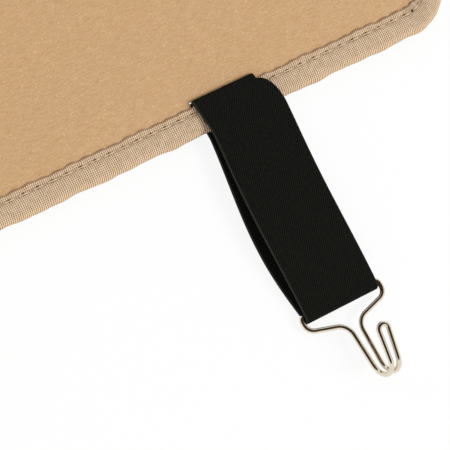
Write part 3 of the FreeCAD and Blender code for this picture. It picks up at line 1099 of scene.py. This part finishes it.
def sweptWire(path, diameter, sides=20):
    # a round wire along the path, closed by a flat cut at each end
    tangent = np.gradient(path, axis=0)
    tangent /= np.linalg.norm(tangent, axis=1)[:, None]
    across = np.cross(tangent[0], (0, 0, 1.0))
    verts = []
    angles = np.linspace(0, 2 * math.pi, sides, endpoint=False)
    for place, along in zip(path, tangent):
        across = across - along * (across @ along)
        across /= np.linalg.norm(across)
        beside = np.cross(along, across)
        verts += [place + diameter / 2 * (math.cos(a) * across + math.sin(a) * beside)
                  for a in angles]
    faces = [(r * sides + k, r * sides + (k + 1) % sides, (r + 1) * sides + (k + 1) % sides,
              (r + 1) * sides + k) for r in range(len(path) - 1) for k in range(sides)]
    faces.append(tuple(reversed(range(sides))))
    faces.append(tuple((len(path) - 1) * sides + k for k in range(sides)))
    return np.array(verts), faces


def makeHook(word, side):
    h = hook
    curl, neck = h["curlSpacing"] / 2, h["neck"] / 2
    neckRun = h["side"] + (h["halfBar"] - neck) * math.tan(math.radians(h["shoulder"]))
    quarter = math.radians((180 - h["spread"]) / 2)
    setback = h["curlRadius"] * math.tan(quarter / 2)
    lowRun = h["curlStart"] + setback
    highRun = lowRun + 2 * setback * math.cos(quarter)
    high = 2 * setback * math.sin(quarter)
    back = setback + h["return"] + h["tipRadius"]
    tip = (highRun + back * math.cos(2 * quarter), h["tipRadius"],
           high + back * math.sin(2 * quarter))
    corners = [(0, halfGap, 0), (0, h["halfBar"], 0), (h["side"], h["halfBar"], 0),
               (neckRun, neck, 0), (lowRun, curl, 0), (highRun, curl, high), tip]
    radii = [h["corner"], h["sideRadius"], h["neckRadius"], h["curlRadius"], h["curlRadius"],
             h["tipRadius"]]
    corners += [(run, -across, rise) for run, across, rise in reversed(corners)]
    path = roundedPath(corners, radii + radii[::-1])
    run, across, rise = path.T
    across = across + h["lean"] * np.clip(run - h["side"], 0, None) + h["roll"] * rise
    tilt = math.radians(h["tilt"])
    path = np.column_stack((hookBar[0] + run * math.cos(tilt) - rise * math.sin(tilt),
                            side * (hookBar[1] + h["aside"] + across),
                            hookBar[2] + run * math.sin(tilt) + rise * math.cos(tilt)))
    obj = makeObject(f"{word}_wire_hook", *sweptWire(path, h["wire"]), finishes["wire"])
    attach(obj, f"{word}_hook")
    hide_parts(f"{word}_hook")


def makeRing(word, side):
    half, far = ring["halfBar"], ring["span"]
    corners = [(0, halfGap), (0, half), (far, half), (far, -half), (0, -half), (0, -halfGap)]
    path = roundedPath([(run, across, 0) for run, across in corners], [ring["corner"]] * 4)
    tilt = math.radians(ring["tilt"])
    path = np.column_stack((ringBar[0] - path[:, 0] * math.cos(tilt),
                            side * hookBar[1] + path[:, 1],
                            ringBar[2] - path[:, 0] * math.sin(tilt)))
    obj = makeObject(f"{word}_wire_ring", *sweptWire(path, ring["wire"]), finishes["wire"])
    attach(obj, f"{word}_ring")
    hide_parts(f"{word}_ring")


for word, side in (("upper", 1), ("lower", -1)):
    makeHook(word, side)
    makeRing(word, side)
print("hooks and rings made")


# lumbar pad

padLow, padHigh = span("pad_cover")
pad = {
    "corner": 26 * mm,
    "start": 3.5 * mm,         # the slack cover starts this far inside its space
    "voxel": 4.5 * mm,
    "moments": 20,             # steps of the cloth simulation
    "pressure": 4.0,
    "mostSwelling": 5 * mm,
    "piping": 1.5 * mm,        # radius of the corded seam
    "fill": 0.75,
    "rimLift": 0.15 * mm,
}


def roundedSquare(half, corner, step=3 * mm):
    # a rounded rectangle's outline in XY, anticlockwise
    outline = []
    for quarter, (sx, sy) in enumerate(((1, 1), (-1, 1), (-1, -1), (1, -1))):
        cx, cy = sx * (half[0] - corner), sy * (half[1] - corner)
        count = max(4, round(corner * math.pi / 2 / step))
        for a in np.linspace(0, math.pi / 2, count):
            turn = a + quarter * math.pi / 2
            outline.append((cx + corner * math.cos(turn), cy + corner * math.sin(turn)))
    return np.array(outline)


def crownedBlock(name, half, low, high, corner):
    # rings of the outline, drawn in towards the middle of a crowned top and a flat bottom
    outline = roundedSquare(half, corner)
    size = len(outline)
    rings = [(0.0, low), (0.25, low), (0.5, low), (0.75, low), (0.94, low), (1.0, low + 1.5 * mm),
             (1.0, low + 0.45 * (high - low)), (0.97, low + 0.75 * (high - low)),
             (0.9, low + 0.92 * (high - low)), (0.75, high), (0.5, high), (0.25, high),
             (0.0, high)]
    verts = [(0, 0, low)]
    for share, z in rings[1:-1]:
        verts += [(x * share, y * share, z) for x, y in outline]
    verts.append((0, 0, high))
    faces = [(0, 1 + (k + 1) % size, 1 + k) for k in range(size)]
    for r in range(len(rings) - 3):
        base = 1 + r * size
        faces += [(base + k, base + (k + 1) % size, base + size + (k + 1) % size,
                   base + size + k) for k in range(size)]
    base = 1 + (len(rings) - 3) * size
    faces += [(base + k, base + (k + 1) % size, len(verts) - 1) for k in range(size)]
    return makeObject(name, verts, faces, finishes["lining"])


def keepShape(obj):
    # applies the modifiers, and leaves a plain mesh
    graph = bpy.context.evaluated_depsgraph_get()
    mesh = bpy.data.meshes.new_from_object(obj.evaluated_get(graph))
    obj.modifiers.clear()
    obj.data = mesh


def makePad():
    start = pad["start"]
    half = (padHigh[:2] - padLow[:2]) / 2 - start
    low, high = padLow[2] + 0.1 * mm, padHigh[2] - start
    cover = crownedBlock("pad_cushion", half, low, high, pad["corner"] - start)
    remesh = cover.modifiers.new("even", "REMESH")
    remesh.mode = "VOXEL"
    remesh.voxel_size = pad["voxel"]
    keepShape(cover)
    count = len(cover.data.vertices)
    before = np.empty(count * 3)
    cover.data.vertices.foreach_get("co", before)
    after = before.reshape(-1, 3).copy()
    cloth = cover.modifiers.new("cloth", "CLOTH")
    cloth.settings.use_pressure = True
    cloth.settings.uniform_pressure_force = pad["pressure"]
    cloth.settings.effector_weights.gravity = 0
    scene = bpy.context.scene
    for moment in range(1, pad["moments"] + 1):
        scene.frame_set(moment)
    graph = bpy.context.evaluated_depsgraph_get()
    swollen = np.empty(count * 3)
    cover.evaluated_get(graph).data.vertices.foreach_get("co", swollen)
    moved = swollen.reshape(-1, 3) - after
    length = np.linalg.norm(moved, axis=1)[:, None]
    after += moved * np.minimum(1, pad["mostSwelling"] / np.maximum(length, 1e-9))
    cover.modifiers.clear()
    scene.frame_set(1)
    reach = padHigh[:2] - 0.3 * mm
    after[:, :2] = np.clip(after[:, :2], -reach, reach)
    after[:, 2] = np.clip(after[:, 2], padLow[2] + 0.05 * mm, padHigh[2])
    cover.data.vertices.foreach_set("co", after.ravel())
    cover.modifiers.new("smooth", "SUBSURF").levels = 1
    cover.modifiers["smooth"].render_levels = 1
    keepShape(cover)
    cover.data.materials.clear()
    cover.data.materials.append(finishes["lining"])
    cover.data.polygons.foreach_set("use_smooth", [True] * len(cover.data.polygons))
    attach(cover, "lumbar_pad")
    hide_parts("pad_cover", "pad_foam")


def makePiping():
    # a cord in a fold of the cover, sewn into the seam round the bottom
    radius = pad["piping"]
    half = (padHigh[:2] - padLow[:2]) / 2 - radius
    outline = roundedSquare(half, pad["corner"] - radius, 2 * mm)
    size, sides = len(outline), 12
    ahead = np.roll(outline, -1, 0) - np.roll(outline, 1, 0)
    ahead /= np.linalg.norm(ahead, axis=1)[:, None]
    outward = np.column_stack((ahead[:, 1], -ahead[:, 0]))
    verts = []
    for (x, y), (ox, oy) in zip(outline, outward):
        for k in range(sides):
            a = 2 * math.pi * k / sides
            verts.append((x + ox * radius * math.cos(a), y + oy * radius * math.cos(a),
                          padLow[2] + radius + radius * math.sin(a)))
    faces = [(r * sides + k, ((r + 1) % size) * sides + k,
              ((r + 1) % size) * sides + (k + 1) % sides, r * sides + (k + 1) % sides)
             for r in range(size) for k in range(sides)]
    obj = makeObject("pad_piping", verts, faces, finishes["lining"])
    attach(obj, "lumbar_pad")


def makeBacking():
    # one layer of cloth that closes the pad underneath, its rim turned up a little
    low, high = span("pad_backing")
    outline = roundedSquare((high[:2] - low[:2]) / 2, pad["corner"])
    size = len(outline)
    verts = []
    for z, rimLift in ((low[2], pad["rimLift"]), (high[2], 0)):
        for share, lift in ((1.0, rimLift), (0.97, 0), (0.6, 0)):
            verts += [(x * share, y * share, z + lift) for x, y in outline]
        verts.append((0, 0, z))
    layer = 3 * size + 1
    faces = []
    for r in range(2):
        for k in range(size):
            n = (k + 1) % size
            a, b, c, d = (r * size + k, r * size + n, (r + 1) * size + n, (r + 1) * size + k)
            faces.append((d, c, b, a))
            faces.append(tuple(i + layer for i in (a, b, c, d)))
    for k in range(size):
        n = (k + 1) % size
        faces.append((3 * size, 2 * size + n, 2 * size + k))
        faces.append((layer + 3 * size, layer + 2 * size + k, layer + 2 * size + n))
        faces.append((k, n, layer + n, layer + k))
    obj = makeObject("pad_back_cloth", verts, faces, finishes["shell"], sharp=40)
    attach(obj, "lumbar_pad")
    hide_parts("pad_backing")


makePad()
makePiping()
makeBacking()
print("lumbar pad made")


# parts that keep their shape from the frame

keptFinishes = {"back_stay": "steel", "stay_tips": "plastic", "side_bone": "plastic",
                "front_bone": "plastic", "pad_grip": "grip"}
for name, obj in nodes.items():
    for start, finish in keptFinishes.items():
        if name.startswith(start):
            for slot in obj.material_slots:
                slot.material = finishes[finish]


# stage and light

studio = {
    "ambient": 0.62,
    "key": 24.0,               # watts
    "fill": 8.0,
    "shadow": 0.12,            # how much of the floor's shade shows
    "cardRadius": 1.15,
    "cardAt": (endX - 0.04, -0.11, 0.7),
    "paperLow": -0.2 * mm,     # just under the panel
    "paperSize": 6,
}


def makeFloor():
    size, z = studio["paperSize"], studio["paperLow"]
    corners = [(-size, -size), (size, -size), (size, size), (-size, size)]
    material = bpy.data.materials.new("white paper sweep")
    material.use_nodes = True
    floor = makeObject("floor", [(x, y, z) for x, y in corners], [(0, 1, 2, 3)], material,
                       sharp=0)
    tree = material.node_tree
    tree.nodes.remove(tree.nodes["Principled BSDF"])
    share = addNode(tree, "ShaderNodeMath",
                    (whiteToLens(tree), 1 - studio["shadow"]), operation="MULTIPLY")
    paper = addNode(tree, "ShaderNodeBsdfDiffuse", {"Color": linear("#f2f2f0")})
    glow = addNode(tree, "ShaderNodeEmission", {"Color": (1, 1, 1, 1), "Strength": 1.0})
    mixed = addNode(tree, "ShaderNodeMixShader", (share, paper, glow))
    tree.links.new(mixed, tree.nodes["Material Output"].inputs[0])


def whiteToLens(tree):
    # 1 for what is seen straight on, in polished metal or through glass
    path = tree.nodes.new("ShaderNodeLightPath")
    seen = addNode(tree, "ShaderNodeMath", (path.outputs["Is Camera Ray"],
                                            path.outputs["Is Glossy Ray"]), operation="MAXIMUM")
    return addNode(tree, "ShaderNodeMath", (seen, path.outputs["Is Transmission Ray"]),
                   operation="MAXIMUM")


def makeWorld():
    world = bpy.data.worlds.new("studio")
    bpy.context.scene.world = world
    world.use_nodes = True
    tree = world.node_tree
    background = tree.nodes["Background"]
    strength = addNode(tree, "ShaderNodeMix", {0: whiteToLens(tree), 2: studio["ambient"],
                                               3: 1.0}, data_type="FLOAT")
    tree.links.new(strength, background.inputs["Strength"])
    background.inputs["Color"].default_value = (1, 1, 1, 1)


def makeCard():
    # a dark card overhead draws the dark core line in the polished wire, and nothing else
    centre = Vector(studio["cardAt"])
    facing = (Vector((hookBar[0], hookBar[1], 0)) - centre).normalized()
    beside = facing.cross(Vector((0, 1, 0))).normalized()
    ahead = facing.cross(beside)
    verts = [centre + studio["cardRadius"] * (math.cos(a) * beside + math.sin(a) * ahead)
             for a in np.linspace(0, 2 * math.pi, 48, endpoint=False)]
    material = bpy.data.materials.new("black card")
    material.use_nodes = True
    shader = material.node_tree.nodes["Principled BSDF"]
    shader.inputs["Base Color"].default_value = linear("#4a3d30")
    shader.inputs["Roughness"].default_value = 1.0
    shader.inputs["Specular IOR Level"].default_value = 0.0
    card = makeObject("overhead_card", verts, [tuple(range(48))], material, sharp=0)
    card.visible_camera = card.visible_diffuse = card.visible_shadow = False
    card.visible_transmission = card.visible_volume_scatter = False


def addLamp(name, place, target, size, power):
    data = bpy.data.lights.new(name, "AREA")
    data.shape = "DISK"
    data.size = size
    data.energy = power
    obj = linkObject(name, data)
    obj.visible_glossy = False   # the wire shows the white studio and the card, not the lamps
    obj.location = place
    obj.rotation_mode = "QUATERNION"
    obj.rotation_quaternion = (Vector(target) - Vector(place)).to_track_quat("-Z", "Y")


makeFloor()
makeWorld()
makeCard()
addLamp("key", (1.4, 1.0, 1.6), (0.2, 0, 0), 0.9, studio["key"])
addLamp("fill", (-1.2, -1.4, 1.3), (0, 0, 0), 1.2, studio["fill"])
bpy.context.scene.view_settings.view_transform = "Standard"
print("stage and light made")
